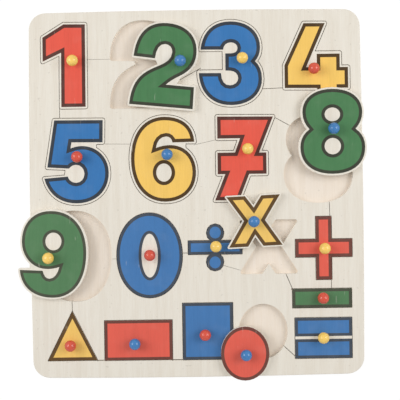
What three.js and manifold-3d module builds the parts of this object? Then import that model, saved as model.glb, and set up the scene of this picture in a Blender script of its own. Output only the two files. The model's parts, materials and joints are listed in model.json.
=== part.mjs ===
// Wooden number and sign puzzle: a plywood tray with nineteen sawn-out pieces, each with a peg knob.
// Millimetres, +Z up. The origin is the centre of the tray's underside, +Y is the top of the picture.
import * as THREE from 'three';
import { mergeVertices } from 'three/addons/utils/BufferGeometryUtils.js';
import Module from 'manifold-3d';

// Tray
const BOARD_WIDTH = 307;
const BOARD_LENGTH = 338;
const CORNER_RADIUS = 15.5;
const SIDE_BOW = 1.1;
const BACKING_THICKNESS = 3;
const SHEET_THICKNESS = 5;

// Bare rim between the tray's edge and the outermost printed outlines
const LEFT_RIM = 11.8;
const RIGHT_RIM = 11.1;
const TOP_RIM = 11.2;
const BOTTOM_RIM = 15.9;

// Saw cuts
const SAW_GAP = 0.6;
const THIN_CUT = 0.3;
const PLAIN_CUT = 0.6;
const WIDE_CUT = 1;
const BLADE_HOLE_DIAMETER = 1.6;

// Bare wood left around the print: on the numbers 1 to 9, on the times sign and on all other pieces
const NUMBER_EDGE = 1.7;
const CROSS_EDGE = 1.3;
const SHAPE_EDGE = 0;

// Print: a painted face with a raised dark line around it, bolder on some pieces than on others
const BOLD_LINE = 3.15;
const PLAIN_LINE = 2.9;
const FINE_LINE = 2.6;
const THIN_LINE = 2.3;
const LINE_RISE = 0.3;
const FACE_RISE = 0.15;

// Peg knob
const KNOB_DIAMETER = 10.5;
const NECK_DIAMETER = 6;
const NECK_HEIGHT = 2;
const FOOT_DIAMETER = 7.4;
const SPIGOT_DIAMETER = 4;
const SPIGOT_CLEARANCE = 0.1;
const SPIGOT_END_GAP = 0.3;
const SPIGOT_FLOOR = 1.2;
const FOOT_CLEARANCE = 0.2;

// A piece lying loose on the tray
const LOOSE_GAP = 0.3;

// How far a cut runs past a face, and a joined shape into its neighbour
const OVERRUN = 1;

// Fineness of the curves
const CURVE_CHORD = 4;
const FEWEST_CHORDS = 4;
const OVAL_SIDES = 36;
const KNOB_SIDES = 18;
const BALL_STEPS = 6;
const CORNER_STEPS = 4;
const CLOSE_POINTS = 0.01;
const FLAT_LIMIT = 0.001;
const SHARP_BEND = Math.PI / 5;
const ROUND_STEP = Math.PI / 6;

const sheetTop = BACKING_THICKNESS + SHEET_THICKNESS;
const onSheet = sheetTop + LOOSE_GAP;
const onPrint = sheetTop + LINE_RISE + LOOSE_GAP;

const RED = '#e4574a';
const GREEN = '#3f8651';
const BLUE = '#3c78b8';
const YELLOW = '#efc45c';
const PLY = '#e4dccb';
const BACKING_PLY = '#d9cbb2';

const wasm = await Module();
wasm.setup();

// Outlines. A list of steps: two numbers end a straight line, six numbers a curve. An oval has its centre
// and half its width and length. The drawing is spread over the tray so that the outermost outlines leave
// its rims.

function box(left, bottom, right, top) {
  return [[left, bottom], [right, bottom], [right, top], [left, top]];
}

function oval(x, y, halfWidth, halfLength) {
  return { x, y, halfWidth, halfLength };
}

// Moves an outline outward by reach, or inward by a negative reach. Sharp corners that grow are round.
function grow(points, reach) {
  const grown = [];
  points.forEach((here, i) => {
    const before = points[(i + points.length - 1) % points.length];
    const after = points[(i + 1) % points.length];
    const arriving = here.clone().sub(before).normalize();
    const leaving = after.clone().sub(here).normalize();
    const first = new THREE.Vector2(arriving.y, -arriving.x);
    const last = new THREE.Vector2(leaving.y, -leaving.x);
    const bend = Math.atan2(arriving.cross(leaving), arriving.dot(leaving));
    if (reach > 0 && bend > SHARP_BEND) {
      const steps = Math.ceil(bend / ROUND_STEP);
      for (let step = 0; step <= steps; step += 1) {
        const normal = first.clone().rotateAround(new THREE.Vector2(), (bend * step) / steps);
        grown.push(here.clone().addScaledVector(normal, reach));
      }
      return;
    }
    const mitre = first.clone().add(last).divideScalar(1 + first.dot(last));
    grown.push(here.clone().addScaledVector(mitre, reach));
  });
  return grown;
}

// Solids

function solid(geometry) {
  geometry.deleteAttribute('normal');
  geometry.deleteAttribute('uv');
  const merged = mergeVertices(geometry, 1e-4);
  return new wasm.Manifold(new wasm.Mesh({
    numProp: 3,
    vertProperties: new Float32Array(merged.attributes.position.array),
    triVerts: new Uint32Array(merged.index.array),
  }));
}

function prism(points, bottom, top) {
  const shape = new THREE.Shape(points);
  const geometry = new THREE.ExtrudeGeometry(shape, { depth: top - bottom, bevelEnabled: false });
  geometry.translate(0, 0, bottom);
  return solid(geometry);
}

function peg(x, y, diameter, bottom, top) {
  const geometry = new THREE.CylinderGeometry(diameter / 2, diameter / 2, top - bottom, KNOB_SIDES);
  geometry.rotateX(Math.PI / 2);
  geometry.translate(x, y, (bottom + top) / 2);
  return solid(geometry);
}

function node(name, body, colour, roughness) {
  const mesh = body.getMesh();
  const geometry = new THREE.BufferGeometry();
  geometry.setAttribute('position', new THREE.BufferAttribute(new Float32Array(mesh.vertProperties), 3));
  geometry.setIndex(new THREE.BufferAttribute(new Uint32Array(mesh.triVerts), 1));
  geometry.computeVertexNormals();
  const material = new THREE.MeshStandardMaterial({ color: colour, roughness, metalness: 0 });
  const made = new THREE.Mesh(geometry, material);
  made.name = name;
  return made;
}

// The pieces. home is the place of the piece's own zero point on the tray and knob the knob's place
// from there. lies tells where a piece that is out of its recess lies, how far it is turned and how high.

const threeRim = [
  [-28.3, -7.4],
  [-27.8, -25, -17, -37.2, 1.5, -37.2],
  [18.5, -37.2, 29.7, -27.3, 29.7, -13],
  [29.7, -5.8, 27.5, -0.8, 23.4, 2.9],
  [26.6, 6.2, 28.3, 10.5, 28.3, 15.8],
  [28.3, 30, 17.5, 39.8, 1, 39.8],
  [-14.5, 39.8, -24.5, 31, -26.4, 14.2],
];

const fourRim = [
  [22.4, -9.6],
  [29.9, -9.6],
  [29.9, -28.6],
  [22.4, -28.6],
  [22.4, -44.5],
  [1.4, -44.5],
  [1.4, -28.6],
  [-28.4, -28.2],
  [-28.4, -7.4],
  [-10.4, 31.2],
  [9.1, 31],
];

const fiveBowl = [
  [22.4, 6.3, 27.5, -1.8, 27.5, -11.6],
  [27.5, -28.2, 15.5, -39.6, -2, -39.6],
  [-17, -39.6, -28, -31.5, -31.8, -16.5],
];

const sixBowl = [
  [22.7, 5.1, 26.8, -2.6, 26.8, -12],
  [26.8, -28.5, 15.5, -39.2, -1.5, -39.2],
  [-20, -39.2, -32.8, -24, -32.8, 0],
  [-32.8, 24, -20.5, 38.9, -2, 38.9],
  [14, 38.9, 24.8, 31, 25.6, 15.6],
];

const nineRim = [
  [-21.6, -8.3],
  [-27, -3.8, -30.3, 3.4, -30.3, 11.5],
  [-30.3, 28, -20, 39.4, -4, 39.4],
  [16, 39.4, 28.5, 24.5, 28.5, 1],
  [28.5, -24, 17, -39.8, -2, -39.8],
  [-19, -39.8, -31, -30.5, -32.1, -14.5],
];

const pieces = [
  {
    name: 'number_1',
    colour: RED,
    knobColour: YELLOW,
    edge: NUMBER_EDGE,
    line: BOLD_LINE,
    home: [-119, 119],
    knob: [7.2, 4],
    print: [
      [-1.4, 38.2],
      [18.4, 38],
      [18.1, -37.8],
      [-4.2, -37.8],
      [-3.8, 12.2],
      [-20.8, 4.2],
      [-20.8, 26.2],
    ],
  },
  {
    name: 'number_2',
    colour: GREEN,
    knobColour: BLUE,
    edge: NUMBER_EDGE,
    line: PLAIN_LINE,
    home: [-50, 117.6],
    lies: { at: [-30.6, 116.2], turn: -5.6, height: onSheet },
    knob: [17, 6.1],
    print: [
      [-1.2, 1.3],
      [-14, -5.2, -26, -11, -26.4, -36.3],
      [31.8, -36.3],
      [31.4, -16.2],
      [5.5, -16],
      [9, -12.3, 13, -9.6, 17.5, -7],
      [26.5, -1.8, 31.1, 5, 31.1, 14.5],
      [31.1, 30.5, 20, 40.2, 2.5, 40.2],
      [-14.5, 40.2, -25, 30, -26, 7.9],
      [-6.4, 7.2],
      [-6, 15.5, -3.3, 21, 1.9, 21],
      [6.2, 21, 9, 18, 9, 14.2],
      [9, 7.5, 4, 4, -1.2, 1.3],
    ],
    saw: [
      [-1.2, 1.3],
      [-14, -5.2, -26, -11, -26.4, -36.3],
      [31.8, -36.3],
      [31.4, -16.2],
      [12.5, -16],
      [17.5, -7],
      [26.5, -1.8, 31.1, 5, 31.1, 14.5],
      [31.1, 30.5, 20, 40.2, 2.5, 40.2],
      [-14.5, 40.2, -25, 30, -26, 7.9],
      [-4.4, 7.2],
    ],
  },
  {
    name: 'number_3',
    colour: BLUE,
    knobColour: YELLOW,
    edge: NUMBER_EDGE,
    line: BOLD_LINE,
    home: [32, 118],
    knob: [11.6, 5.2],
    print: [
      ...threeRim,
      [-5.7, 13.9],
      [-5.4, 18, -2.6, 20.5, 1.4, 20.5],
      [5.2, 20.5, 7.6, 18.2, 7.6, 15.2],
      [7.6, 12, 5, 10.4, 1.5, 10.4],
      [-3.7, 10.4],
      [-3.8, -5.3],
      [1, -5.6],
      [5, -5.9, 7.9, -8.8, 7.9, -12.4],
      [7.9, -16.3, 4.4, -19, 0.2, -19],
      [-4.6, -19, -7.8, -15.5, -8, -7.6],
    ],
    saw: [...threeRim, [-4.6, 14.2], [-4.6, -6.4], [-28.3, -6.4]],
  },
  {
    name: 'number_4',
    colour: YELLOW,
    knobColour: RED,
    edge: NUMBER_EDGE,
    line: BOLD_LINE,
    home: [111, 124],
    knob: [-2.1, -11.3],
    print: [...fourRim, [-8.6, -9.3], [1.4, -9.3], [1.4, 2.8], [22.4, 2.8]],
    saw: [...fourRim, [-2.9, 3.6], [22.4, 3.6]],
  },
  {
    name: 'number_5',
    colour: BLUE,
    knobColour: RED,
    edge: NUMBER_EDGE,
    line: BOLD_LINE,
    home: [-108, 32],
    knob: [-0.8, 2.9],
    print: [
      [-22, 37],
      [22.6, 36.7],
      [22.2, 16.3],
      [-6.4, 16.6],
      [-7.4, 11],
      [-2, 13.2, 3, 13.3, 6, 12.9],
      [9.1, 12.5, 12, 11.6, 14.6, 10.3],
      ...fiveBowl,
      [-10.3, -14.8],
      [-9.2, -18.6, -6.2, -20.7, -2.4, -20.7],
      [1.8, -20.7, 5.2, -17, 5.2, -12.4],
      [5.2, -7.8, 1.8, -4.1, -2.4, -4.1],
      [-5, -4.1, -7.4, -5.3, -9, -7.5],
      [-28.9, -6.2],
    ],
    saw: [
      [-22, 37],
      [22.6, 36.7],
      [22.2, 16.3],
      [14.6, 16.3],
      [14.6, 10.3],
      ...fiveBowl,
      [-11.5, -15.2],
      [-10.5, -7.2],
      [-28.9, -6.2],
    ],
  },
  {
    name: 'number_6',
    colour: YELLOW,
    knobColour: BLUE,
    edge: NUMBER_EDGE,
    line: BOLD_LINE,
    home: [-27, 32],
    knob: [0.6, 3.9],
    print: [
      [5.6, 15.2],
      [5, 18.8, 2.8, 20.8, -0.2, 20.8],
      [-5.5, 20.8, -9, 16.5, -9.8, 10.3],
      [-5, 12.2, -0.5, 12.8, 3, 12.8],
      [7.9, 12.8, 12.3, 11.5, 15.9, 9.3],
      ...sixBowl,
    ],
    saw: [[15.9, 15.6], [15.9, 9.3], ...sixBowl],
    bare: [oval(-2.7, -12.4, 7.1, 8.4)],
  },
  {
    name: 'number_7',
    colour: RED,
    knobColour: YELLOW,
    edge: NUMBER_EDGE,
    line: BOLD_LINE,
    home: [44, 32],
    knob: [3.4, 8.1],
    print: [
      [-24.1, 38.4],
      [27.2, 37.8],
      [14, 4.8],
      [20.7, 4.8],
      [20.7, -14.7],
      [4.7, -14.7],
      [-4.8, -38.7],
      [-26.9, -38.7],
      [-17.2, -14.6],
      [-24.2, -14.6],
      [-24.2, 5.1],
      [-8.1, 5.1],
      [-3.2, 18.2],
      [-24.1, 18.2],
    ],
  },
  {
    name: 'number_8',
    colour: GREEN,
    knobColour: BLUE,
    edge: NUMBER_EDGE,
    line: PLAIN_LINE,
    home: [112.3, 31.6],
    lies: { at: [125.1, 55.6], turn: 0, height: onPrint },
    knob: [0.3, 1.6],
    print: [
      [0, -39.5],
      [18, -39.5, 29.6, -30.5, 29.6, -15],
      [29.6, -7.7, 26.4, -2.3, 21, 1.5],
      [24.8, 5.5, 27.3, 10.5, 27.3, 17],
      [27.3, 30, 16.5, 38.1, 0, 38.1],
      [-16.5, 38.1, -27.3, 30, -27.3, 17],
      [-27.3, 10.5, -24.8, 5.5, -21, 1.5],
      [-26.4, -2.3, -29.6, -7.7, -29.6, -15],
      [-29.6, -30.5, -18, -39.5, 0, -39.5],
    ],
    bare: [oval(0, 14.8, 7.1, 6.3), oval(0, -14.2, 7.5, 7.5)],
  },
  {
    name: 'number_9',
    colour: GREEN,
    knobColour: YELLOW,
    edge: NUMBER_EDGE,
    line: FINE_LINE,
    home: [-109.6, -55.9],
    lies: { at: [-130.1, -53.7], turn: -1, height: onSheet },
    knob: [-5.3, -3.4],
    print: [
      ...nineRim,
      [-11.3, -15.2],
      [-10.3, -19.8, -8.3, -22.5, -5, -22.5],
      [-0.5, -22.5, 2.8, -17.5, 4, -11.7],
      [0, -13.1, -4, -13.6, -7, -13.6],
      [-12.7, -13.6, -17.7, -11.6, -21.6, -8.3],
    ],
    saw: [...nineRim, [-21.6, -14.5]],
    bare: [oval(-1.5, 11.6, 7.4, 8.1)],
  },
  {
    name: 'number_0',
    colour: BLUE,
    knobColour: RED,
    edge: SHAPE_EDGE,
    line: FINE_LINE,
    home: [-44, -56],
    knob: [0.5, 0],
    print: [
      [0, -39.4],
      [17.2, -39.4, 30.1, -23, 30.1, -0.4],
      [30.1, 22.2, 17.2, 38.6, 0, 38.6],
      [-17.2, 38.6, -30.1, 22.2, -30.1, -0.4],
      [-30.1, -23, -17.2, -39.4, 0, -39.4],
    ],
    bare: [oval(0.1, -0.6, 7.6, 20.2)],
  },
  {
    name: 'sign_divide',
    colour: BLUE,
    knobColour: YELLOW,
    edge: SHAPE_EDGE,
    line: THIN_LINE,
    home: [16, -50],
    knob: [1, 1.1],
    print: [
      [-24.3, -6.1],
      [-4, -6.1],
      [-10.4, -10.2, -8.1, -21.5, 0.2, -21.5],
      [8.5, -21.5, 10.8, -10.2, 4.4, -6.1],
      [25.1, -6.1],
      [25.1, 6.4],
      [4.8, 6.4],
      [11.2, 10.5, 8.8, 21.6, 0.6, 21.6],
      [-7.6, 21.6, -10, 10.5, -3.6, 6.4],
      [-24.3, 6.4],
    ],
    faces: [
      box(-24.3, -6.1, 25.1, 6.4),
      oval(0.6, 13.8, 7.5, 7.8),
      oval(0.2, -13.7, 7.5, 7.8),
    ],
  },
  {
    name: 'sign_times',
    colour: YELLOW,
    knobColour: BLUE,
    edge: CROSS_EDGE,
    line: BOLD_LINE,
    home: [65.8, -50],
    lies: { at: [52.6, -26], turn: 2.4, height: onPrint },
    knob: [-0.8, -0.4],
    print: [
      [-24.5, 23.1],
      [-7.5, 23.1],
      [0, 12.3],
      [7.5, 23.1],
      [24.5, 23.1],
      [9.5, 0.4],
      [24.5, -23.1],
      [7, -23.1],
      [0, -12.3],
      [-7, -23.1],
      [-24.5, -23.1],
      [-9.5, 0.4],
    ],
  },
  {
    name: 'sign_plus',
    colour: RED,
    knobColour: YELLOW,
    edge: SHAPE_EDGE,
    line: PLAIN_LINE,
    home: [116.3, -51.8],
    knob: [0.3, -0.2],
    print: [
      [-7.2, 29],
      [7.2, 29],
      [7.2, 8.2],
      [26.1, 8.2],
      [26.1, -8.2],
      [7.2, -8.2],
      [7.2, -29],
      [-7.2, -29],
      [-7.2, -8.2],
      [-26, -8.2],
      [-26, 8.2],
      [-7.2, 8.2],
    ],
  },
  {
    name: 'sign_minus',
    colour: GREEN,
    knobColour: RED,
    edge: SHAPE_EDGE,
    line: FINE_LINE,
    home: [114.2, -97.9],
    knob: [0.2, 0.6],
    print: box(-27.2, -8.7, 27.2, 8.7),
  },
  {
    name: 'sign_equals',
    colour: BLUE,
    knobColour: YELLOW,
    edge: SHAPE_EDGE,
    line: FINE_LINE,
    home: [115, -134.5],
    knob: [-0.8, 0.8],
    print: box(-26.1, -18.6, 26.2, 18.6),
    bare: [box(-28, -1, 28, 1.6)],
  },
  {
    name: 'shape_triangle',
    colour: YELLOW,
    knobColour: RED,
    edge: SHAPE_EDGE,
    line: PLAIN_LINE,
    home: [-118, -131],
    knob: [0.9, -6.7],
    print: [[-20.6, -21.1], [24.8, -21.1], [2.2, 24]],
  },
  {
    name: 'shape_rectangle',
    colour: RED,
    knobColour: BLUE,
    edge: SHAPE_EDGE,
    line: FINE_LINE,
    home: [-55.4, -134.3],
    knob: [-2.9, -2.7],
    print: box(-30.9, -18.2, 31.2, 18.3),
  },
  {
    name: 'shape_square',
    colour: BLUE,
    knobColour: RED,
    edge: SHAPE_EDGE,
    line: FINE_LINE,
    home: [8.8, -126.9],
    knob: [-2.6, -2.7],
    print: box(-23.1, -26, 22.9, 26),
  },
  {
    name: 'shape_circle',
    colour: RED,
    knobColour: BLUE,
    edge: SHAPE_EDGE,
    line: PLAIN_LINE,
    home: [59.6, -127.7],
    lies: { at: [42.4, -147], turn: 0, height: onPrint },
    knob: [0.7, -0.6],
    print: oval(0, 0, 22.1, 24.7),
  },
];

// The saw ran from piece to piece in one cut. Each link is the straight stretch between two recesses,
// and its width is how far the cut has opened there.
const sawLinks = [
  [[80, 96], [61, 95.4], PLAIN_CUT],
  [[4.5, 114.8], [-19, 101.8], PLAIN_CUT],
  [[-77, 124.6], [-100.5, 124.6], THIN_CUT],
  [[-124.9, 82.5], [-125, 69], PLAIN_CUT],
  [[-84.6, 46.7], [-58.5, 46.2], THIN_CUT],
  [[-1, 44.8], [19, 49.2], THIN_CUT],
  [[71, 70], [88, 60.5], PLAIN_CUT],
  [[122, -8], [122.4, -24], PLAIN_CUT],
  [[123, -80], [122.9, -90], PLAIN_CUT],
  [[87.5, -90.2], [80.5, -73.5], PLAIN_CUT],
  [[40, -71.4], [20, -65.5], THIN_CUT],
  [[-7, -54.7], [-15, -54.7], PLAIN_CUT],
  [[-72.5, -59.2], [-81, -59.2], THIN_CUT],
  [[-116, -95], [-115.8, -108.5], PLAIN_CUT],
  [[-94.5, -152.3], [-85.5, -152.3], WIDE_CUT],
  [[-25.4, -152.7], [-13.6, -152.8], WIDE_CUT],
  [[31, -131], [39, -131], PLAIN_CUT],
  [[75, -138.2], [90, -152.4], PLAIN_CUT],
];

// Where the saw turned sharply it left a small round hole at the recess's corner.
const bladeHoles = [
  [-24.2, -152.9],
  [86.6, -89.2],
  [-93, -152.4],
  [40.3, -26.4],
];

// The reach of the whole drawing, with every piece in its recess, and its spread over the tray.

function corners(outline) {
  if (outline.halfWidth) {
    const { x, y, halfWidth, halfLength } = outline;
    return box(x - halfWidth, y - halfLength, x + halfWidth, y + halfLength);
  }
  return outline.map((step) => step.slice(-2));
}

const drawn = new THREE.Box2();
for (const piece of pieces) {
  const home = new THREE.Vector2(...piece.home);
  for (const corner of corners(piece.print)) {
    drawn.expandByPoint(new THREE.Vector2(...corner).add(home));
  }
}
const across = (BOARD_WIDTH - LEFT_RIM - RIGHT_RIM) / (drawn.max.x - drawn.min.x);
const along = (BOARD_LENGTH - BOTTOM_RIM - TOP_RIM) / (drawn.max.y - drawn.min.y);

function onTray([x, y]) {
  return new THREE.Vector2(
    LEFT_RIM - BOARD_WIDTH / 2 + (x - drawn.min.x) * across,
    BOTTOM_RIM - BOARD_LENGTH / 2 + (y - drawn.min.y) * along,
  );
}

function onPiece([x, y]) {
  return new THREE.Vector2(x * across, y * along);
}

function ovalPoints({ x, y, halfWidth, halfLength }) {
  const points = [];
  for (let i = 0; i < OVAL_SIDES; i += 1) {
    const angle = (2 * Math.PI * i) / OVAL_SIDES;
    points.push(onPiece([x + halfWidth * Math.cos(angle), y + halfLength * Math.sin(angle)]));
  }
  return points;
}

function stepPoints(steps) {
  const points = [onPiece(steps[0])];
  for (const step of steps.slice(1)) {
    if (step.length === 2) {
      points.push(onPiece(step));
      continue;
    }
    const curve = new THREE.CubicBezierCurve(
      points[points.length - 1],
      onPiece(step.slice(0, 2)),
      onPiece(step.slice(2, 4)),
      onPiece(step.slice(4)),
    );
    const count = Math.max(FEWEST_CHORDS, Math.round(curve.getLength() / CURVE_CHORD));
    points.push(...curve.getPoints(count).slice(1));
  }
  return points;
}

// An outline at its size on the tray, running counter-clockwise without repeated points.
function draw(outline) {
  const points = outline.halfWidth ? ovalPoints(outline) : stepPoints(outline);
  const kept = points.filter((point, i) => {
    const next = points[(i + 1) % points.length];
    return point.distanceTo(next) > CLOSE_POINTS;
  });
  return THREE.ShapeUtils.isClockWise(kept) ? kept.reverse() : kept;
}

function pieceSolid(piece) {
  const top = SHEET_THICKNESS;
  const lineTop = top + LINE_RISE;
  const above = lineTop + OVERRUN;
  let body = prism(grow(draw(piece.saw ?? piece.print), piece.edge), 0, top);
  let print = prism(draw(piece.print), top - OVERRUN, lineTop);
  let face = null;
  for (const outline of piece.faces ?? [piece.print]) {
    const painted = prism(grow(draw(outline), -piece.line), top + FACE_RISE, above);
    face = face ? face.add(painted) : painted;
  }
  for (const bare of piece.bare ?? []) {
    print = print.subtract(prism(draw(bare), top, above));
    face = face.subtract(prism(grow(draw(bare), piece.line), top, above));
  }
  body = body.add(print).subtract(face);
  const { x, y } = onPiece(piece.knob);
  body = body.subtract(peg(x, y, FOOT_DIAMETER + 2 * FOOT_CLEARANCE, top, above));
  body = body.subtract(peg(x, y, SPIGOT_DIAMETER + 2 * SPIGOT_CLEARANCE, SPIGOT_FLOOR, above));
  return body.asOriginal().simplify(FLAT_LIMIT);
}

function knobSolid() {
  const ball = KNOB_DIAMETER / 2;
  const lowest = Math.asin(NECK_DIAMETER / KNOB_DIAMETER);
  const centre = NECK_HEIGHT + ball * Math.cos(lowest);
  const spigotEnd = SPIGOT_FLOOR + SPIGOT_END_GAP - SHEET_THICKNESS;
  const profile = [
    new THREE.Vector2(0, spigotEnd),
    new THREE.Vector2(SPIGOT_DIAMETER / 2, spigotEnd),
    new THREE.Vector2(SPIGOT_DIAMETER / 2, 0),
    new THREE.Vector2(FOOT_DIAMETER / 2, 0),
  ];
  for (let step = 0; step < BALL_STEPS; step += 1) {
    const angle = lowest + ((Math.PI - lowest) * step) / BALL_STEPS;
    profile.push(new THREE.Vector2(ball * Math.sin(angle), centre - ball * Math.cos(angle)));
  }
  profile.push(new THREE.Vector2(0, centre + ball));
  const geometry = new THREE.LatheGeometry(profile, KNOB_SIDES);
  geometry.rotateX(Math.PI / 2);
  return solid(geometry);
}

// The tray's outline: sides that bow slightly outward between rounded corners.
function roundedBoard(bottom, top) {
  const endX = BOARD_WIDTH / 2 - SIDE_BOW;
  const endY = BOARD_LENGTH / 2 - SIDE_BOW;
  const x = endX - CORNER_RADIUS;
  const y = endY - CORNER_RADIUS;
  const shape = new THREE.Shape();
  shape.absarc(x, y, CORNER_RADIUS, 0, Math.PI / 2);
  shape.quadraticCurveTo(0, endY + 2 * SIDE_BOW, -x, endY);
  shape.absarc(-x, y, CORNER_RADIUS, Math.PI / 2, Math.PI);
  shape.quadraticCurveTo(-endX - 2 * SIDE_BOW, 0, -endX, -y);
  shape.absarc(-x, -y, CORNER_RADIUS, Math.PI, Math.PI * 1.5);
  shape.quadraticCurveTo(0, -endY - 2 * SIDE_BOW, x, -endY);
  shape.absarc(x, -y, CORNER_RADIUS, Math.PI * 1.5, Math.PI * 2);
  shape.quadraticCurveTo(endX + 2 * SIDE_BOW, 0, endX, y);
  const points = shape.getPoints(CORNER_STEPS);
  const kept = points.filter((point, i) => point.distanceTo(points[(i + 1) % points.length]) > CLOSE_POINTS);
  return prism(kept, bottom, top);
}

function sheetSolid() {
  const below = BACKING_THICKNESS - OVERRUN;
  const above = sheetTop + OVERRUN;
  let sheet = roundedBoard(BACKING_THICKNESS, sheetTop);
  for (const piece of pieces) {
    const recess = prism(grow(draw(piece.saw ?? piece.print), piece.edge + SAW_GAP), below, above);
    const home = onTray(piece.home);
    sheet = sheet.subtract(recess.translate(home.x, home.y, 0));
  }
  for (const [start, end, width] of sawLinks) {
    const from = onTray(start);
    const to = onTray(end);
    const geometry = new THREE.BoxGeometry(from.distanceTo(to) + 2 * OVERRUN, width, above - below);
    geometry.rotateZ(to.clone().sub(from).angle());
    geometry.translate((from.x + to.x) / 2, (from.y + to.y) / 2, (above + below) / 2);
    sheet = sheet.subtract(solid(geometry));
  }
  for (const place of bladeHoles) {
    const { x, y } = onTray(place);
    sheet = sheet.subtract(peg(x, y, BLADE_HOLE_DIAMETER, below, above));
  }
  return sheet;
}

const puzzle = new THREE.Group();
puzzle.add(node('backing_board', roundedBoard(0, BACKING_THICKNESS), BACKING_PLY, 0.7));
puzzle.add(node('top_sheet', sheetSolid(), PLY, 0.6));

const knob = knobSolid();
for (const piece of pieces) {
  const plate = node(`${piece.name}_plate`, pieceSolid(piece), piece.colour, 0.5);
  const grip = node(`${piece.name}_knob`, knob, piece.knobColour, 0.25);
  const seat = onPiece(piece.knob);
  grip.position.set(seat.x, seat.y, SHEET_THICKNESS);
  const rest = piece.lies ?? { at: piece.home, turn: 0, height: BACKING_THICKNESS };
  const set = new THREE.Group();
  const place = onTray(rest.at);
  set.position.set(place.x, place.y, rest.height);
  set.rotation.z = THREE.MathUtils.degToRad(rest.turn);
  set.add(plate, grip);
  puzzle.add(set);
}

export default puzzle;
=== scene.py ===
"""Looks for a wooden number, sign and shape puzzle: plywood tray, printed lift-out pieces and peg knobs."""

import json
import math

import bmesh
import bpy
from bpy.props import FloatProperty, FloatVectorProperty, PointerProperty
from mathutils import Matrix, Vector

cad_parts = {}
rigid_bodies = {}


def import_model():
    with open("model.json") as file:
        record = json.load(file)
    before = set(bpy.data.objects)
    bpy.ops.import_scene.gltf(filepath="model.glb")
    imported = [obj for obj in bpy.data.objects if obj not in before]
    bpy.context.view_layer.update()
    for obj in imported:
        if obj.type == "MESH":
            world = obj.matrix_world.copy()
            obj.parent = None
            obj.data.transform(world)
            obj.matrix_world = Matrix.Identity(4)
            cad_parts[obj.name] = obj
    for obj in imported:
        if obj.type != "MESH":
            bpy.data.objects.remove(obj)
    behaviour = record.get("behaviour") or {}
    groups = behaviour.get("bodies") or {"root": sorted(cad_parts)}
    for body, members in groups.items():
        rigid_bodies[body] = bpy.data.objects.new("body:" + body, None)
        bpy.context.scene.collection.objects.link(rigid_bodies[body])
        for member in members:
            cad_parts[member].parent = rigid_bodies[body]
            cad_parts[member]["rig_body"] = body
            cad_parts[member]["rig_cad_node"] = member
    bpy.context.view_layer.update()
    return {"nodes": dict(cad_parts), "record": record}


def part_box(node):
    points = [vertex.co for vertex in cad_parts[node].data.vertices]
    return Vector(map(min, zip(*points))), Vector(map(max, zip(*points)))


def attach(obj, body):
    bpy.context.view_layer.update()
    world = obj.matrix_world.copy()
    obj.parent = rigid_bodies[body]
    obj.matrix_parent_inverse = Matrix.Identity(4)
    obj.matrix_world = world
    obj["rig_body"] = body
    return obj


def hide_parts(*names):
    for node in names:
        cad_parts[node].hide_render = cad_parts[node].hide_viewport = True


bl_info = {
    "name": "Wooden Math Puzzle",
    "version": (1, 0, 0),
    "blender": (4, 5, 0),
    "location": "View3D > Sidebar > Puzzle",
    "description": "Dresses a plywood peg puzzle of numbers, signs and shapes",
    "category": "Object",
}

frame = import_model()

NUMBERS = [f"number_{digit}" for digit in "1234567890"]
SIGNS = ["sign_divide", "sign_times", "sign_plus", "sign_minus", "sign_equals"]
SHAPES = ["shape_triangle", "shape_rectangle", "shape_square", "shape_circle"]
BOLD_PIECES = [f"number_{digit}" for digit in "12345678"]
BARE_MARGIN_PIECES = [f"number_{digit}" for digit in "123456789"] + ["sign_times"]
SLOTS = {part["node"]: part["material_slot"] for part in frame["record"]["subparts"]}

SHEET_LOW, SHEET_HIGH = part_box("top_sheet")
BACKING_LOW, BACKING_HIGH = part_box("backing_board")
PLIES = 3
SHEET_PLY = (SHEET_HIGH.z - SHEET_LOW.z) / PLIES
BACKING_PLY = (BACKING_HIGH.z - BACKING_LOW.z) / PLIES

# Limits for telling faces apart and cleaning them: metres, radians, and the upward part of a normal
MERGE_DISTANCE = 0.000004
FLAT_ANGLE = math.radians(0.15)
LEVEL_MATCH = 0.00001
CUT_SKIN = 0.000005
SIDE_WALL_HEIGHT = 0.004
WALL_STEEPNESS = 0.3
SANDED_STEEPEST, SANDED_FLATTEST = 0.2, 0.98
PLATE_SMOOTHING = math.radians(38)
KNOB_SMOOTHING = math.radians(50)

# Steps in a rounded edge, and the underside's rounding as a share of the rim's
RIM_STEPS = 3
PIECE_STEPS = 2
UNDERSIDE_SHARE = 0.6

# Places of the finishes in the list of materials of a piece and of the tray's sheet
WOOD_FINISH, PRINT_FINISH, LINE_FINISH = 0, 1, 2
SAWN_PAINTED_LIGHT_FINISH = 1

# Sockets of a Mix node that blends colours
MIX_SHARE, MIX_FIRST, MIX_SECOND, MIX_RESULT = 0, 6, 7, 2

# Patterns: repeats in a metre, and how far a pattern is drawn out along the grain
FINE_STREAKS = 1150.0
BROAD_STREAKS = 190.0
PORES = 2300.0
SPECKS = 420.0
FIBRES = 900.0
PRINT_CLOUDS = 75.0
SCRATCHES = 700.0
WORN_PATCHES = 42.0
KNOB_CLOUDS = 260.0
KNOB_SCUFFS = 1900.0
STREAK_STRETCH = (1.0, 0.05, 1.0)
PORE_STRETCH = (1.0, 0.09, 1.0)
SCRATCH_STRETCH = (1.0, 0.12, 1.0)
FIBRE_STRETCH = (1.0, 1.0, 0.3)

# Depth of the relief in a surface, in metres
WOOD_RELIEF = 0.00004
PRINT_RELIEF = 0.00003
KNOB_RELIEF = 0.00001

# Variation of the colour in a print, and the shade of the pieces' wood beside the tray's
FACE_VARIATION = 0.055
LINE_VARIATION = 0.12
PIECE_WOOD_SHADE = 1.03

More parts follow.
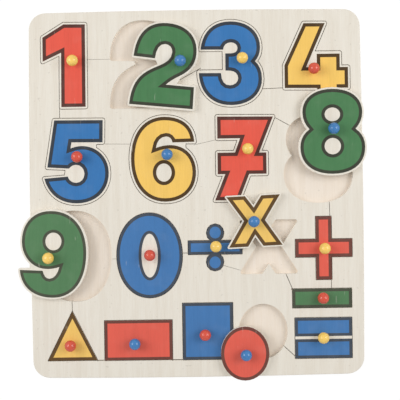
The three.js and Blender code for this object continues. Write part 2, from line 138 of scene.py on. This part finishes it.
# Profile of a knob under its ball: heights in metres, and widths as shares
BALL_SEGMENTS, BALL_RINGS = 32, 20
BALL_CUT = 0.0002
WAIST_SHARE = 0.97
FLARE_HEIGHT = 0.0007
FLARE_SHARE = 0.9
FOOT_CURVE = 0.0004
FOOT_RIM = 0.0002
SPIGOT_TIP = 0.0003
SPIGOT_TAPER = 0.86

# Floor: its size and its drop below the tray in metres, its glow, and the share of glow that is seen
FLOOR_SIZE = 8.0
FLOOR_DROP = 0.0003
FLOOR_GLOW = 1.03
FLOOR_WHITENING = 0.9

# The right lamp, which the left one mirrors, and the camera: lengths in metres, the sensor in millimetres
LAMP_PLACE = Vector((0.95, 0.22, 0.86))
LAMP_AIM = Vector((0.0, 0.05, 0.0))
LAMP_SIZE = 0.75
CAMERA_SENSOR = 36.0
CAMERA_NEAREST = 0.05
WHITE = (1.0, 1.0, 1.0)


def linear(red, green, blue):
    """The linear colour of a colour given as screen values from 0 to 255."""
    out = []
    for value in (red, green, blue):
        share = value / 255
        out.append(share / 12.92 if share <= 0.04045 else ((share + 0.055) / 1.055) ** 2.4)
    return tuple(out)


def length(name, description, default):
    """A property for a length in metres."""
    return FloatProperty(
        name=name, description=description, default=default, min=0.0, unit="LENGTH", precision=5
    )


def factor(name, description, default):
    """A property for a plain number."""
    return FloatProperty(name=name, description=description, default=default)


def colour(name, description, red, green, blue):
    """A property for a colour given as screen values."""
    return FloatVectorProperty(
        name=name,
        description=description,
        default=linear(red, green, blue),
        subtype="COLOR",
        min=0.0,
        max=1.0,
    )


class PuzzleWood(bpy.types.PropertyGroup):
    """Plywood of the tray and of the pieces."""

    face: colour("Face", "Sanded face of the plywood", 234, 228, 216)
    streak: colour("Streak", "Darker streaks of the grain", 226, 218, 204)
    # Recess floor: the backing's own warmer unsanded tone, also painted paler than the sanded face as
    # painted light against the shade in the recesses
    floor: colour("Recess floor", "Unsanded face under the recesses", 240, 229, 216)
    floor_streak: colour("Recess floor streak", "Darker streaks under the recesses", 234, 221, 205)
    ply: colour("Outer ply", "Cut edge of the outer plies", 242, 229, 207)
    core: colour("Core ply", "Cut edge of the core ply", 226, 204, 172)
    # Sawn walls: painted paler than sawn plies are, as painted light standing in for light reflected down
    # into the narrow saw gaps
    sawn_ply: colour("Sawn outer ply", "Freshly sawn wall of the outer plies", 247, 242, 234)
    sawn_core: colour("Sawn core ply", "Freshly sawn wall of the core ply", 240, 232, 219)
    rim_round: length("Rim rounding", "Rounding of the tray's outer edge", 0.0009)
    piece_round: length("Piece rounding", "Sanded edge of a piece with a bare margin", 0.0004)
    narrow_round: length("Narrow rounding", "Sanded edge of a piece printed to its edge", 0.00036)
    rim: length("Rim", "Bare rim that stays free of recesses", 0.006)


class PuzzlePrint(bpy.types.PropertyGroup):
    """Printed faces and the dark line around them."""

    red: colour("Red", "Red print", 227, 92, 75)
    green: colour("Green", "Green print", 74, 123, 80)
    blue: colour("Blue", "Blue print", 57, 117, 177)
    yellow: colour("Yellow", "Yellow print", 243, 199, 103)
    red_line: colour("Line on red", "Dark line around red print", 96, 57, 49)
    green_line: colour("Line on green", "Dark line around green print", 63, 67, 54)
    blue_line: colour("Line on blue", "Dark line around blue print", 59, 66, 76)
    yellow_line: colour("Line on yellow", "Dark line around yellow print", 83, 61, 33)
    dust: colour("Dust", "Grey that dulls the print of the faded pieces", 160, 150, 140)
    dulled: factor("Dulled print", "Share of dust on the pieces other than 1 to 8", 0.065)
    bold: factor("Bold line", "Shade of the line on the numbers 1 to 8", 0.75)
    faded: factor("Faded line", "Shade of the line on the other pieces", 1.24)
    line_rise: length("Line level", "Height of the line's level in the solid above bare wood", 0.0003)
    face_rise: length("Face level", "Height of the face's level in the solid above bare wood", 0.00015)
    thin: factor("Thinning", "Share of the solid's print height that ink has", 0.3)


class PuzzleKnob(bpy.types.PropertyGroup):
    """Peg knobs."""

    red: colour("Red", "Red plastic", 212, 74, 48)
    blue: colour("Blue", "Blue plastic", 50, 120, 182)
    yellow: colour("Yellow", "Yellow plastic", 248, 206, 100)
    ball: length("Ball", "Diameter of the ball", 0.0105)
    neck: length("Neck", "Diameter of the neck under the ball", 0.006)
    neck_height: length("Neck height", "Height of the neck above the wood", 0.002)
    foot: length("Foot", "Diameter of the foot on the wood", 0.0074)
    spigot: length("Spigot", "Diameter of the spigot in the wood", 0.004)
    spigot_depth: length("Spigot depth", "Depth of the spigot in the wood", 0.0035)


class PuzzleStudio(bpy.types.PropertyGroup):
    """Light, floor and camera."""

    floor: colour("Floor", "Pale floor", 255, 255, 255)
    lamp: FloatProperty(name="Lamps", description="Power of each side lamp", default=6.7, unit="POWER")
    fill: factor("Fill", "Strength of the light from all round", 0.5)
    camera_height: length("Camera height", "Height of the camera above the tray", 0.8)
    camera_width: length("Camera width", "Width that the camera sees at the tray's face", 0.368)
    aim: FloatVectorProperty(
        name="Aim", description="Point under the camera", default=(0.0031, -0.0061), size=2, unit="LENGTH"
    )
    roll: FloatProperty(
        name="Roll", description="Turn of the camera", default=math.radians(-0.82), unit="ROTATION"
    )


class Tone:
    """A value inside a finish. Arithmetic on it adds the nodes."""

    def __init__(self, finish, socket):
        self.finish = finish
        self.socket = socket

    def work(self, operation, first, second=None):
        """Adds a Math node."""
        return self.finish.node("ShaderNodeMath", {"operation": operation}, {0: first, 1: second})

    def __add__(self, other):
        return self.work("ADD", self, other)

    def __radd__(self, other):
        return self.work("ADD", other, self)

    def __sub__(self, other):
        return self.work("SUBTRACT", self, other)

    def __rsub__(self, other):
        return self.work("SUBTRACT", other, self)

    def __mul__(self, other):
        return self.work("MULTIPLY", self, other)

    def __rmul__(self, other):
        return self.work("MULTIPLY", other, self)

    def __mod__(self, other):
        return self.work("FLOORED_MODULO", self, other)

    def __gt__(self, other):
        return self.work("GREATER_THAN", self, other)

    def __abs__(self):
        return self.work("ABSOLUTE", self)

    def most(self, other):
        """The larger of two values."""
        return self.work("MAXIMUM", self, other)

    def between(self, low, high):
        """A soft step from 0 at low to 1 at high."""
        inputs = {"Value": self, "From Min": low, "From Max": high}
        return self.finish.node("ShaderNodeMapRange", {"interpolation_type": "SMOOTHSTEP"}, inputs)


class Finish:
    """The nodes of a material or of the world, under way."""

    def __init__(self, holder):
        self.holder = holder
        holder.use_nodes = True
        self.tree = holder.node_tree
        self.tree.nodes.clear()

    def node(self, kind, settings=None, inputs=None, output=0):
        """Adds any node: its settings first, then the values or links of its sockets."""
        made = self.tree.nodes.new(kind)
        for key, value in (settings or {}).items():
            setattr(made, key, value)
        for key, value in (inputs or {}).items():
            if isinstance(value, Tone):
                self.tree.links.new(value.socket, made.inputs[key])
            elif value is not None:
                made.inputs[key].default_value = value
        return Tone(self, made.outputs[output]) if made.outputs else None

    def place(self):
        """The point on the piece, in the shared frame."""
        return self.node("ShaderNodeTexCoord", output="Object")

    def stretched(self, place, scale):
        """A place with its axes scaled, to draw a pattern out."""
        return self.node("ShaderNodeMapping", inputs={"Vector": place, "Scale": scale})

    def noise(self, place, scale, detail=2.0, roughness=0.5, distortion=0.0):
        """A cloudy pattern around a half."""
        inputs = {
            "Vector": place,
            "Scale": scale,
            "Detail": detail,
            "Roughness": roughness,
            "Distortion": distortion,
        }
        return self.node("ShaderNodeTexNoise", inputs=inputs)

    def blend(self, share, first, second):
        """A colour from the first at 0 to the second at 1."""
        inputs = {MIX_SHARE: share, MIX_FIRST: opaque(first), MIX_SECOND: opaque(second)}
        return self.node("ShaderNodeMix", {"data_type": "RGBA"}, inputs, MIX_RESULT)

    def close(self, base, roughness, height, depth, fixed):
        """Ends a material with its shader, whose fixed values are the same all over."""
        bump = self.node("ShaderNodeBump", inputs={"Strength": 1.0, "Distance": depth, "Height": height})
        inputs = {"Base Color": base, "Roughness": roughness, "Normal": bump, **fixed}
        shader = self.node("ShaderNodeBsdfPrincipled", inputs=inputs)
        self.node("ShaderNodeOutputMaterial", inputs={"Surface": shader})
        return self.holder


def opaque(value):
    """A colour with full alpha, or the link to one."""
    return value if isinstance(value, Tone) else (*value, 1.0)


def shade(value, share):
    """A colour made darker or lighter."""
    return tuple(min(1.0, part * share) for part in value)


def grain(finish, place):
    """Fine and broad streaks along the tray's length, and open pores."""
    along = finish.stretched(place, STREAK_STRETCH)
    fine = finish.noise(along, FINE_STREAKS, detail=3.0, roughness=0.6)
    broad = finish.noise(along, BROAD_STREAKS, distortion=0.3)
    pores = finish.noise(finish.stretched(place, PORE_STRETCH), PORES, detail=1.0)
    return fine, broad, pores


def cut_plies(finish, place, ply, outer, core):
    """The colour of a cut edge: outer and core plies in turn, with dark fibres."""
    height = finish.node("ShaderNodeAttribute", {"attribute_name": "ply_height"}, output="Fac")
    in_core = height % (2 * ply) > ply
    fibre = finish.noise(finish.stretched(place, FIBRE_STRETCH), FIBRES, detail=3.0, roughness=0.6)
    edge = finish.blend(in_core, outer, core)
    return finish.blend(fibre.between(0.42, 0.72) * 0.45, edge, shade(core, 0.82))


def wall_share(finish):
    """1 on upright walls and 0 on level faces."""
    normal = finish.node("ShaderNodeNewGeometry", output="Normal")
    upward = finish.node("ShaderNodeSeparateXYZ", inputs={"Vector": normal}, output="Z")
    return 1.0 - abs(upward).between(0.45, 0.75)


def plywood(name, face, streak, ply, outer, core):
    """Bare plywood with grain on its faces and plies on its cut edges."""
    finish = Finish(bpy.data.materials.new(name))
    place = finish.place()
    fine, broad, pores = grain(finish, place)
    streaks = (fine * 0.75 + broad * 0.85).between(0.5, 1.1)
    flat = finish.blend(streaks, face, streak)
    flat = finish.blend(pores.between(0.62, 0.74) * 0.1, flat, shade(streak, 0.72))
    specks = finish.noise(place, SPECKS, detail=0.0).between(0.8, 0.84)
    flat = finish.blend(specks * 0.25, flat, shade(streak, 0.5))
    edge = cut_plies(finish, place, ply, outer, core)
    base = finish.blend(wall_share(finish), flat, edge)
    roughness = fine * 0.2 + 0.45
    relief = fine * 0.6 + pores * 0.4
    return finish.close(base, roughness, relief, WOOD_RELIEF, {"Specular IOR Level": 0.3})


def ink(name, paint, variation, bare):
    """Print on plywood: the grain shows through and some of it is worn off."""
    finish = Finish(bpy.data.materials.new(name))
    place = finish.place()
    fine, broad, pores = grain(finish, place)
    streaks = (fine * 0.7 + broad * 0.6).between(0.45, 0.95)
    base = finish.blend(streaks, shade(paint, 1.0 + variation), shade(paint, 1.0 - variation))
    base = finish.blend(pores.between(0.6, 0.76) * 0.14, base, shade(paint, 0.62))
    cloud = finish.noise(place, PRINT_CLOUDS)
    base = finish.blend(cloud.between(0.45, 0.8) * 0.025, base, bare)
    along = finish.stretched(place, SCRATCH_STRETCH)
    scratches = finish.noise(along, SCRATCHES, detail=1.0, roughness=0.4).between(0.7, 0.78)
    worn = finish.noise(place, WORN_PATCHES, detail=1.0).between(0.58, 0.7)
    base = finish.blend(scratches * worn * 0.3, base, bare)
    roughness = cloud * 0.14 + 0.36
    relief = fine * 0.5 + pores * 0.5
    return finish.close(base, roughness, relief, PRINT_RELIEF, {"Specular IOR Level": 0.2})


def plastic(name, tint):
    """Glossy moulded plastic with fine scuffs."""
    finish = Finish(bpy.data.materials.new(name))
    place = finish.place()
    cloud = finish.noise(place, KNOB_CLOUDS)
    base = finish.blend(cloud.between(0.35, 0.75), shade(tint, 1.05), shade(tint, 0.93))
    scuffs = finish.noise(place, KNOB_SCUFFS, detail=3.0, roughness=0.6)
    roughness = scuffs.between(0.5, 0.8) * 0.16 + 0.22
    fixed = {"Coat Weight": 0.25, "Coat Roughness": 0.12}
    return finish.close(base, roughness, scuffs, KNOB_RELIEF, fixed)


def deselect():
    bpy.ops.object.select_all(action="DESELECT")


def activate(piece):
    """Selects one piece alone and makes it the active one."""
    deselect()
    piece.select_set(True)
    bpy.context.view_layer.objects.active = piece


def merged_copy(node, name):
    """A merged copy of a solid with its flat faces whole."""
    activate(frame["nodes"][node])
    bpy.ops.object.duplicate()
    piece = bpy.context.view_layer.objects.active
    bpy.ops.object.parent_clear(type="CLEAR_KEEP_TRANSFORM")
    piece.name = name
    piece.data.name = name
    del piece["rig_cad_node"]
    del piece["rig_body"]
    piece.data.materials.clear()
    bpy.ops.mesh.customdata_custom_splitnormals_clear()
    bpy.ops.object.mode_set(mode="EDIT")
    bpy.ops.mesh.select_mode(type="VERT")
    bpy.ops.mesh.select_all(action="SELECT")
    bpy.ops.mesh.remove_doubles(threshold=MERGE_DISTANCE)
    bpy.ops.mesh.dissolve_limited(angle_limit=FLAT_ANGLE)
    bpy.ops.object.mode_set(mode="OBJECT")
    return piece


def is_wall(face):
    return abs(face.normal.z) < WALL_STEEPNESS


def round_edges(piece, chosen, width, steps):
    """Bevels the edges between a wall and a flat face that chosen picks."""
    activate(piece)
    bpy.ops.object.mode_set(mode="EDIT")
    bpy.ops.mesh.select_mode(type="EDGE")
    bpy.ops.mesh.select_all(action="DESELECT")
    edit = bmesh.from_edit_mesh(piece.data)
    count = 0
    for edge in edit.edges:
        if len(edge.link_faces) != 2:
            continue
        walls = [face for face in edge.link_faces if is_wall(face)]
        if len(walls) == 1 and chosen(edge, walls[0]):
            edge.select_set(True)
            count += 1
    edit.select_flush_mode()
    bmesh.update_edit_mesh(piece.data)
    if not count:
        bpy.ops.object.mode_set(mode="OBJECT")
        raise RuntimeError(f"{piece.name}: no edge to round")
    bpy.ops.mesh.bevel(
        offset=width, segments=steps, affect="EDGES", clamp_overlap=False, loop_slide=False
    )
    bpy.ops.object.mode_set(mode="OBJECT")


def refill(piece, level):
    """Fills the flat top at a level anew between its outlines, so that no face reaches across a notch."""
    activate(piece)
    bpy.ops.object.mode_set(mode="EDIT")
    bpy.ops.mesh.select_mode(type="FACE")
    bpy.ops.mesh.select_all(action="DESELECT")
    edit = bmesh.from_edit_mesh(piece.data)
    for face in edit.faces:
        face.select_set(all(abs(point.co.z - level) < LEVEL_MATCH for point in face.verts))
    bmesh.update_edit_mesh(piece.data)
    bpy.ops.mesh.delete(type="FACE")
    bpy.ops.mesh.select_mode(type="EDGE")
    bpy.ops.mesh.select_non_manifold(
        use_wire=False, use_multi_face=False, use_non_contiguous=False, use_verts=False
    )
    bpy.ops.mesh.fill(use_beauty=True)
    bpy.ops.mesh.select_all(action="SELECT")
    bpy.ops.mesh.normals_make_consistent(inside=False)
    bpy.ops.object.mode_set(mode="OBJECT")


def smooth(piece):
    """Shades the rounded edges smoothly and keeps the flat faces flat."""
    activate(piece)
    bpy.ops.object.shade_smooth_by_angle(angle=PLATE_SMOOTHING)
    bpy.ops.object.modifier_add(type="WEIGHTED_NORMAL")
    modifier = piece.modifiers[-1]
    modifier.keep_sharp = True
    bpy.ops.object.modifier_apply(modifier=modifier.name)


def note_plies(piece, underside):
    """Keeps each point's height above the underside, which the plies follow."""
    heights = piece.data.attributes.new("ply_height", "FLOAT", "POINT")
    for point, value in zip(piece.data.vertices, heights.data):
        value.value = point.co.z - underside


def seat(piece, node, body):
    """Sets a piece on the body that it rides on and hides the node that it takes the place of."""
    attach(piece, body)
    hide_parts(node)


def on_rim(point):
    """Tells the tray's outer edge, rounded corners included, from the walls of the recesses."""
    rim = bpy.context.scene.puzzle_wood.rim
    return abs(point.x) > SHEET_HIGH.x - rim or abs(point.y) > SHEET_HIGH.y - rim


def upper_edge(edge, wall):
    """Picks the tray's edges in the upper half."""
    return edge.verts[0].co.z > SHEET_HIGH.z / 2


def lower_edge(edge, wall):
    """Picks the backing board's edges in the lower half."""
    return edge.verts[0].co.z < BACKING_HIGH.z / 2


def side_edge(edge, wall):
    """Picks the edges of a plate's own sides, and not those of the low print."""
    heights = [point.co.z for point in wall.verts]
    return max(heights) - min(heights) > SIDE_WALL_HEIGHT and len(wall.verts) >= 4


def round_rimmed_slab(wood):
    """A slab with the tray's outline, a rounded upper rim and its top just under the sheet's face."""
    slab = merged_copy("backing_board", "rim_pattern")
    narrow = 1 - CUT_SKIN / SHEET_HIGH.x
    deep = (SHEET_HIGH.z - CUT_SKIN - BACKING_LOW.z) / (BACKING_HIGH.z - BACKING_LOW.z)
    slab.data.transform(Matrix.Diagonal((narrow, narrow, deep, 1.0)))
    round_edges(slab, upper_edge, wood.rim_round, RIM_STEPS)
    return slab


def keep_inside(piece, limit):
    """Cuts away what lies outside another closed mesh, and deletes that mesh."""
    activate(piece)
    bpy.ops.object.modifier_add(type="BOOLEAN")
    cut = piece.modifiers[-1]
    cut.operation = "INTERSECT"
    cut.solver = "EXACT"
    cut.object = limit
    bpy.ops.object.modifier_apply(modifier=cut.name)
    if not piece.data.polygons:
        raise RuntimeError(f"{piece.name}: nothing is left inside {limit.name}")
    activate(limit)
    bpy.ops.object.delete()


def dress_sheet(wood):
    """The recessed top sheet, with a rounded rim and the walls of its recesses and saw gaps painted paler,
    as painted light in the narrow gaps.
    """
    sheet = merged_copy("top_sheet", "tray_sheet")
    keep_inside(sheet, round_rimmed_slab(wood))
    note_plies(sheet, SHEET_LOW.z)
    sanded = plywood("sheet plywood", wood.face, wood.streak, SHEET_PLY, wood.ply, wood.core)
    sawn = plywood("sawn plywood", wood.face, wood.streak, SHEET_PLY, wood.sawn_ply, wood.sawn_core)
    for finish in (sanded, sawn):
        sheet.data.materials.append(finish)
    for face in sheet.data.polygons:
        if is_wall(face) and not on_rim(face.center):
            # The walls of the recesses and saw gaps take the paler sawn colours: painted light in the
            # narrow gaps
            face.material_index = SAWN_PAINTED_LIGHT_FINISH
    smooth(sheet)
    seat(sheet, "top_sheet", "tray")


def dress_backing(wood):
    """The backing board, whose upper face is the floor of the recesses."""
    backing = merged_copy("backing_board", "tray_backing")
    round_edges(backing, lower_edge, wood.rim_round * UNDERSIDE_SHARE, RIM_STEPS)
    note_plies(backing, BACKING_LOW.z)
    # The recess floor colours are partly the backing's own tone and partly painted light against the shade
    # in the recesses
    lining = plywood("backing plywood", wood.floor, wood.floor_streak, BACKING_PLY, wood.ply, wood.core)
    backing.data.materials.append(lining)
    smooth(backing)
    seat(backing, "backing_board", "tray")


class PUZZLE_OT_tray(bpy.types.Operator):
    """Dresses the top sheet and the backing board."""

    bl_idname = "puzzle.tray"
    bl_label = "Tray"

    def execute(self, context):
        dress_sheet(context.scene.puzzle_wood)
        dress_backing(context.scene.puzzle_wood)
        return {"FINISHED"}


def tint_of(node):
    """The colour that a node's material slot begins with."""
    return SLOTS[node].split("_")[0]


def piece_finishes(wood, colours, name):
    """The bare wood, the print and the line of a piece, each made once."""
    tint = tint_of(f"{name}_plate")
    strength = "bold" if name in BOLD_PIECES else "faded"
    names = ["piece plywood", f"{strength} {tint} print", f"{strength} line on {tint}"]
    if names[WOOD_FINISH] not in bpy.data.materials:
        face = shade(wood.face, PIECE_WOOD_SHADE)
        # The pieces' sawn sides take the same paler colours: painted light in the saw gaps around them
        plywood(names[WOOD_FINISH], face, wood.streak, SHEET_PLY, wood.sawn_ply, wood.sawn_core)
    if names[PRINT_FINISH] not in bpy.data.materials:
        dust = colours.dulled if strength == "faded" else 0.0
        paint = [part + (grey - part) * dust for part, grey in zip(getattr(colours, tint), colours.dust)]
        ink(names[PRINT_FINISH], paint, FACE_VARIATION, wood.face)
    if names[LINE_FINISH] not in bpy.data.materials:
        line = shade(getattr(colours, f"{tint}_line"), getattr(colours, strength))
        ink(names[LINE_FINISH], line, LINE_VARIATION, wood.streak)
    return [bpy.data.materials[title] for title in names]


def thin_print(plate, bare, colours):
    """Lowers the levels of the print to the thickness of ink."""
    for point in plate.data.vertices:
        if point.co.z > bare + colours.face_rise / 2:
            point.co.z = bare + (point.co.z - bare) * colours.thin
    plate.data.update()


def part_finishes(plate, bare, printed_edge, colours):
    """Parts the line, the print and the bare wood by their levels."""
    line_level = bare + colours.line_rise * colours.thin
    face_level = bare + colours.face_rise * colours.thin
    near = colours.face_rise / 2 * colours.thin
    for face in plate.data.polygons:
        heights = [plate.data.vertices[index].co.z for index in face.vertices]
        low, high = min(heights), max(heights)
        sloping = SANDED_STEEPEST < face.normal.z < SANDED_FLATTEST
        sanded = printed_edge and sloping and high > bare + near
        if sanded or low > line_level - near or high > face_level + near:
            face.material_index = LINE_FINISH
        elif high > face_level - near:
            face.material_index = PRINT_FINISH


def dress_plate(context, name):
    """A copy of a piece's plate with thin print, sanded edges and its three finishes."""
    wood = context.scene.puzzle_wood
    colours = context.scene.puzzle_print
    printed_edge = name not in BARE_MARGIN_PIECES
    node = f"{name}_plate"
    low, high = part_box(node)
    bare = high.z - colours.line_rise
    plate = merged_copy(node, f"{name}_board")
    round_edges(plate, side_edge, wood.narrow_round if printed_edge else wood.piece_round, PIECE_STEPS)
    if printed_edge:
        refill(plate, high.z)
    thin_print(plate, bare, colours)
    for finish in piece_finishes(wood, colours, name):
        plate.data.materials.append(finish)
    part_finishes(plate, bare, printed_edge, colours)
    note_plies(plate, low.z)
    smooth(plate)
    seat(plate, node, name)


class PUZZLE_OT_numbers(bpy.types.Operator):
    """Dresses the ten number pieces."""

    bl_idname = "puzzle.numbers"
    bl_label = "Numbers"

    def execute(self, context):
        for name in NUMBERS:
            dress_plate(context, name)
        return {"FINISHED"}


class PUZZLE_OT_signs(bpy.types.Operator):
    """Dresses the five arithmetic sign pieces."""

    bl_idname = "puzzle.signs"
    bl_label = "Signs"

    def execute(self, context):
        for name in SIGNS:
            dress_plate(context, name)
        return {"FINISHED"}


class PUZZLE_OT_shapes(bpy.types.Operator):
    """Dresses the four shape pieces."""

    bl_idname = "puzzle.shapes"
    bl_label = "Shapes"

    def execute(self, context):
        for name in SHAPES:
            dress_plate(context, name)
        return {"FINISHED"}


def select_ring(piece, level):
    """Selects the points of a mesh in edit mode that lie at a level."""
    bpy.ops.mesh.select_all(action="DESELECT")
    edit = bmesh.from_edit_mesh(piece.data)
    for point in edit.verts:
        point.select_set(abs(point.co.z - level) < LEVEL_MATCH)
    edit.select_flush_mode()
    bmesh.update_edit_mesh(piece.data)


def pull_ring(distance, share=1.0):
    """Extrudes the selected ring downward and widens or narrows it."""
    bpy.ops.mesh.extrude_edges_move(TRANSFORM_OT_translate={"value": (0.0, 0.0, -distance)})
    if share != 1.0:
        bpy.ops.transform.resize(value=(share, share, 1.0))


def model_knob(context):
    """A ball on a short neck with a flared foot and a spigot, standing on the origin."""
    sizes = context.scene.puzzle_knob
    radius = sizes.ball / 2
    slope = math.asin(sizes.neck / sizes.ball)
    centre = sizes.neck_height + radius * math.cos(slope)
    deselect()
    bpy.ops.mesh.primitive_uv_sphere_add(
        segments=BALL_SEGMENTS, ring_count=BALL_RINGS, radius=radius, location=(0.0, 0.0, centre)
    )
    knob = context.view_layer.objects.active
    knob.name = "knob_pattern"
    bpy.ops.object.transform_apply(location=True, rotation=True, scale=True)
    bpy.ops.object.mode_set(mode="EDIT")
    bpy.ops.mesh.select_mode(type="VERT")
    bpy.ops.mesh.select_all(action="SELECT")
    cut = sizes.neck_height + BALL_CUT
    bpy.ops.mesh.bisect(plane_co=(0.0, 0.0, cut), plane_no=(0.0, 0.0, 1.0), clear_inner=True)
    select_ring(knob, cut)
    bpy.ops.mesh.select_mode(type="EDGE")
    ring = math.sqrt(radius**2 - (centre - cut) ** 2)
    waist = sizes.neck / 2 * WAIST_SHARE
    foot = sizes.foot / 2
    pull_ring(cut - FLARE_HEIGHT - FOOT_CURVE - FOOT_RIM, waist / ring)
    pull_ring(FLARE_HEIGHT, foot * FLARE_SHARE / waist)
    pull_ring(FOOT_CURVE, 1 / FLARE_SHARE)
    pull_ring(FOOT_RIM)
    pull_ring(0.0, sizes.spigot / sizes.foot)
    pull_ring(sizes.spigot_depth - SPIGOT_TIP)
    pull_ring(SPIGOT_TIP, SPIGOT_TAPER)
    bpy.ops.mesh.edge_face_add()
    bpy.ops.mesh.select_all(action="SELECT")
    bpy.ops.mesh.normals_make_consistent(inside=False)
    bpy.ops.object.mode_set(mode="OBJECT")
    bpy.ops.object.shade_smooth_by_angle(angle=KNOB_SMOOTHING)
    return knob


class PUZZLE_OT_knobs(bpy.types.Operator):
    """Models one peg knob and sets a copy of it on every piece."""

    bl_idname = "puzzle.knobs"
    bl_label = "Knobs"

    def execute(self, context):
        sizes = context.scene.puzzle_knob
        finishes = {}
        for tint in ("red", "blue", "yellow"):
            finishes[tint] = plastic(f"{tint} knob plastic", getattr(sizes, tint))
        pattern = model_knob(context)
        for name in NUMBERS + SIGNS + SHAPES:
            node = f"{name}_knob"
            low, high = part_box(node)
            place = Vector(((low.x + high.x) / 2, (low.y + high.y) / 2, low.z + sizes.spigot_depth))
            activate(pattern)
            bpy.ops.object.duplicate()
            knob = context.view_layer.objects.active
            knob.name = f"{name}_grip"
            knob.data.name = knob.name
            knob.data.transform(Matrix.Translation(place))
            knob.data.materials.append(finishes[tint_of(node)])
            seat(knob, node, name)
        activate(pattern)
        bpy.ops.object.delete()
        return {"FINISHED"}


def seen_directly(finish):
    """1 for what the camera, a reflection or a clear piece sees, 0 for light falling on the object."""
    rays = ("Is Camera Ray", "Is Glossy Ray", "Is Transmission Ray")
    camera, glossy, clear = (finish.node("ShaderNodeLightPath", output=ray) for ray in rays)
    return camera.most(glossy).most(clear)


def white_floor(studio):
    """A pale floor that the camera sees as white and that keeps a faint shadow."""
    finish = Finish(bpy.data.materials.new("studio floor"))
    paint = opaque(studio.floor)
    matt = finish.node("ShaderNodeBsdfDiffuse", inputs={"Color": paint})
    glow = finish.node("ShaderNodeEmission", inputs={"Color": paint, "Strength": FLOOR_GLOW})
    share = seen_directly(finish) * FLOOR_WHITENING
    mixed = finish.node("ShaderNodeMixShader", inputs={0: share, 1: matt, 2: glow})
    finish.node("ShaderNodeOutputMaterial", inputs={"Surface": mixed})
    return finish.holder


def white_sky(studio):
    """A white sky for the camera, and a softer one for the light falling on the object."""
    finish = Finish(bpy.data.worlds.new("studio light"))
    strength = studio.fill + seen_directly(finish) * (1.0 - studio.fill)
    sky = finish.node("ShaderNodeBackground", inputs={"Color": opaque(WHITE), "Strength": strength})
    finish.node("ShaderNodeOutputWorld", inputs={"Surface": sky})
    return finish.holder


def soft_lamp(name, side, power):
    """A large square lamp on one side, turned towards the tray."""
    place = LAMP_PLACE * Vector((side, 1, 1))
    bpy.ops.object.light_add(type="AREA", location=place)
    lamp = bpy.context.view_layer.objects.active
    lamp.name = name
    lamp.data.shape = "SQUARE"
    lamp.data.size = LAMP_SIZE
    lamp.data.energy = power
    lamp.rotation_euler = (LAMP_AIM - place).to_track_quat("-Z", "Y").to_euler()


class PUZZLE_OT_stage(bpy.types.Operator):
    """Sets the floor, the two side lamps, the fill light and the camera."""

    bl_idname = "puzzle.stage"
    bl_label = "Stage"

    def execute(self, context):
        studio = context.scene.puzzle_studio
        deselect()
        bpy.ops.mesh.primitive_plane_add(size=FLOOR_SIZE, location=(0.0, 0.0, -FLOOR_DROP))
        floor = context.view_layer.objects.active
        floor.name = "studio_floor"
        floor.data.materials.append(white_floor(studio))
        soft_lamp("lamp_left", -1, studio.lamp)
        soft_lamp("lamp_right", 1, studio.lamp)
        context.scene.world = white_sky(studio)
        place = (studio.aim[0], studio.aim[1], SHEET_HIGH.z + studio.camera_height)
        bpy.ops.object.camera_add(location=place, rotation=(0.0, 0.0, studio.roll))
        camera = context.view_layer.objects.active
        camera.data.sensor_width = CAMERA_SENSOR
        camera.data.lens = CAMERA_SENSOR * studio.camera_height / studio.camera_width
        camera.data.clip_start = CAMERA_NEAREST
        context.scene.camera = camera
        context.scene.view_settings.view_transform = "Standard"
        return {"FINISHED"}


GROUPS = {
    "puzzle_wood": PuzzleWood,
    "puzzle_print": PuzzlePrint,
    "puzzle_knob": PuzzleKnob,
    "puzzle_studio": PuzzleStudio,
}
STEPS = [
    PUZZLE_OT_stage,
    PUZZLE_OT_tray,
    PUZZLE_OT_numbers,
    PUZZLE_OT_signs,
    PUZZLE_OT_shapes,
    PUZZLE_OT_knobs,
]


class PUZZLE_PT_builder(bpy.types.Panel):
    """Lists the steps that dress the puzzle and their sizes and colours."""

    bl_idname = "PUZZLE_PT_builder"
    bl_label = "Wooden Math Puzzle"
    bl_space_type = "VIEW_3D"
    bl_region_type = "UI"
    bl_category = "Puzzle"

    def draw(self, context):
        for step in STEPS:
            self.layout.operator(step.bl_idname)
        for group in GROUPS:
            values = getattr(context.scene, group)
            for name in values.bl_rna.properties.keys():
                if name not in ("rna_type", "name"):
                    self.layout.prop(values, name)


def register():
    for name, group in GROUPS.items():
        bpy.utils.register_class(group)
        setattr(bpy.types.Scene, name, PointerProperty(type=group))
    for step in STEPS:
        bpy.utils.register_class(step)
    bpy.utils.register_class(PUZZLE_PT_builder)


def unregister():
    bpy.utils.unregister_class(PUZZLE_PT_builder)
    for step in reversed(STEPS):
        bpy.utils.unregister_class(step)
    for name, group in reversed(GROUPS.items()):
        delattr(bpy.types.Scene, name)
        bpy.utils.unregister_class(group)


def main():
    register()
    bpy.ops.puzzle.stage()
    bpy.ops.puzzle.tray()
    bpy.ops.puzzle.numbers()
    bpy.ops.puzzle.signs()
    bpy.ops.puzzle.shapes()
    bpy.ops.puzzle.knobs()


if __name__ == "__main__":
    main()
